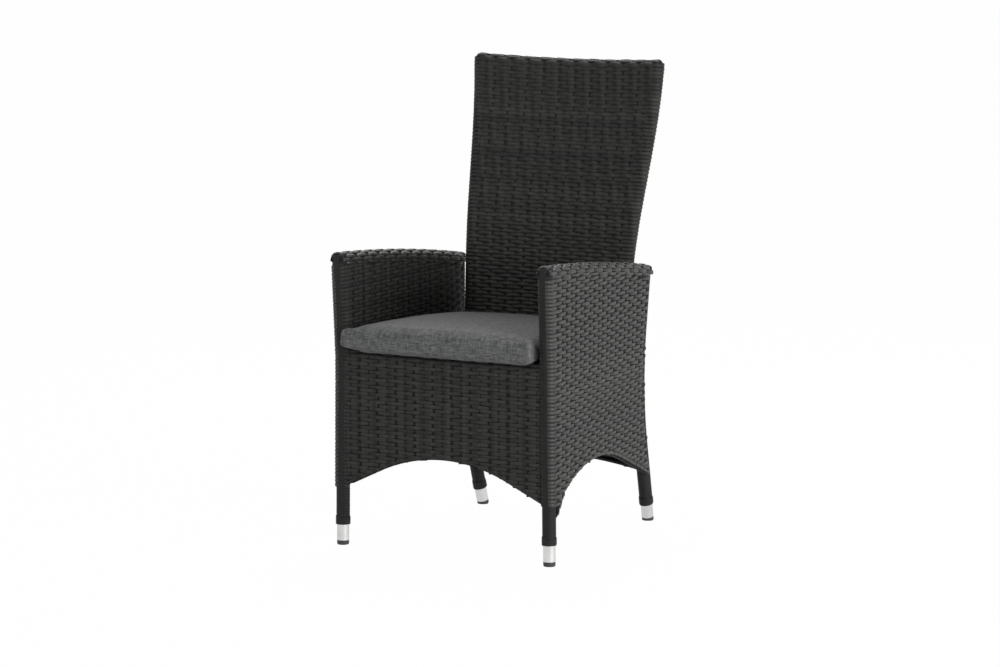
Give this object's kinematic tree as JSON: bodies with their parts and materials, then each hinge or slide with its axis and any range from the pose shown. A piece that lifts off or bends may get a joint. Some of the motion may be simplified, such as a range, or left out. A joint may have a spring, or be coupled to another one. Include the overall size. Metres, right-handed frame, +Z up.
{
  "type": "reclining garden armchair",
  "caption": "High-backed woven garden armchair whose tall back reclines on a lockable gas spring under the seat, with arched woven panels, wrapped legs and a loose seat cushion.",
  "frame": {"origin": "on the floor at the centre of the upright chair's bounding box", "axes": "+Z up, the chair faces -Y, +X is the sitter's left"},
  "size_m": [0.5582, 0.6617, 1.0792],
  "materials": {
    "wicker": "flat woven strand, charcoal, faint sheen",
    "frame_tube": "dark powder coat",
    "ferrule": "satin",
    "glide": "moulded",
    "cushion_fabric": "mid-grey heathered weave",
    "steel": "zinc plated",
    "spring_body": "black paint",
    "rod": "polished",
    "bush": "moulded",
    "grip": "moulded"
  },
  "bodies": {
    "frame": {"front_post_left": "frame_tube", "front_post_right": "frame_tube", "rear_post_left": "frame_tube", "rear_post_right": "frame_tube", "arm_rail_left": "frame_tube", "arm_rail_right": "frame_tube", "seat_front_rail": "frame_tube", "seat_side_rail_left": "frame_tube", "seat_side_rail_right": "frame_tube", "seat_cross_rail": "frame_tube", "seat_rear_rail": "frame_tube", "rear_top_rail": "frame_tube", "front_arch_rod": "frame_tube", "side_arch_rod_left": "frame_tube", "side_arch_rod_right": "frame_tube", "rear_arch_rod": "frame_tube", "front_wrap_left": "wicker", "front_wrap_right": "wicker", "rear_wrap_left": "wicker", "rear_wrap_right": "wicker", "ferrules": "ferrule", "glides": "glide", "side_weave_left": "wicker", "side_weave_right": "wicker", "front_apron_weave": "wicker", "rear_apron_weave": "wicker", "seat_weave": "wicker", "seat_cushion": "cushion_fabric", "pivot_brackets": "frame_tube", "pivot_bolts": "steel", "pivot_nuts": "steel", "spring_bracket": "frame_tube", "spring_front_pins": "steel", "release_hanger": "frame_tube"},
    "backrest": {"back_stile_left": "frame_tube", "back_stile_right": "frame_tube", "back_top_rail": "frame_tube", "back_low_rail": "frame_tube", "back_weave": "wicker", "torque_tube": "frame_tube", "lever_fork": "frame_tube", "pivot_bushes": "bush", "spring_rear_pin": "steel"},
    "gas_rod": {"spring_rod": "rod", "spring_piston": "steel", "release_head": "steel"},
    "gas_cylinder": {"spring_cylinder": "spring_body", "rod_guide": "steel", "end_eye": "steel"},
    "release_pin": {"release_pin": "steel"},
    "release_lever": {"release_shaft": "steel", "release_finger": "steel", "release_grip": "grip"}
  },
  "joints": [
    {"name": "recline", "type": "hinge", "parent": "frame", "child": "backrest", "pos_m": [0, 0.17455, 0.388], "axis": [-1, 0, 0], "range_deg": [0, 30]},
    {"name": "rod_swing", "type": "hinge", "parent": "frame", "child": "gas_rod", "pos_m": [0, -0.15545, 0.333], "axis": [1, 0, 0], "range_deg": [0, 1.2]},
    {"name": "cylinder_slide", "type": "slide", "parent": "gas_rod", "child": "gas_cylinder", "axis": [0, -1, 0], "range_m": [0, 0.028]},
    {"name": "release", "type": "hinge", "parent": "frame", "child": "release_lever", "pos_m": [0, -0.16945, 0.357], "axis": [1, 0, 0], "range_deg": [0, 7], "stiffness_Nm_per_rad": 10},
    {"name": "pin_slide", "type": "slide", "parent": "gas_rod", "child": "release_pin", "axis": [0, 1, 0], "range_m": [0, 0.0031]}
  ],
  "couplings": [
    {"joint": "rod_swing", "follows": "recline", "ratio": 0.03805},
    {"joint": "cylinder_slide", "follows": "recline", "m_per_rad": 0.05298},
    {"joint": "pin_slide", "follows": "release", "m_per_rad": 0.024}
  ]
}
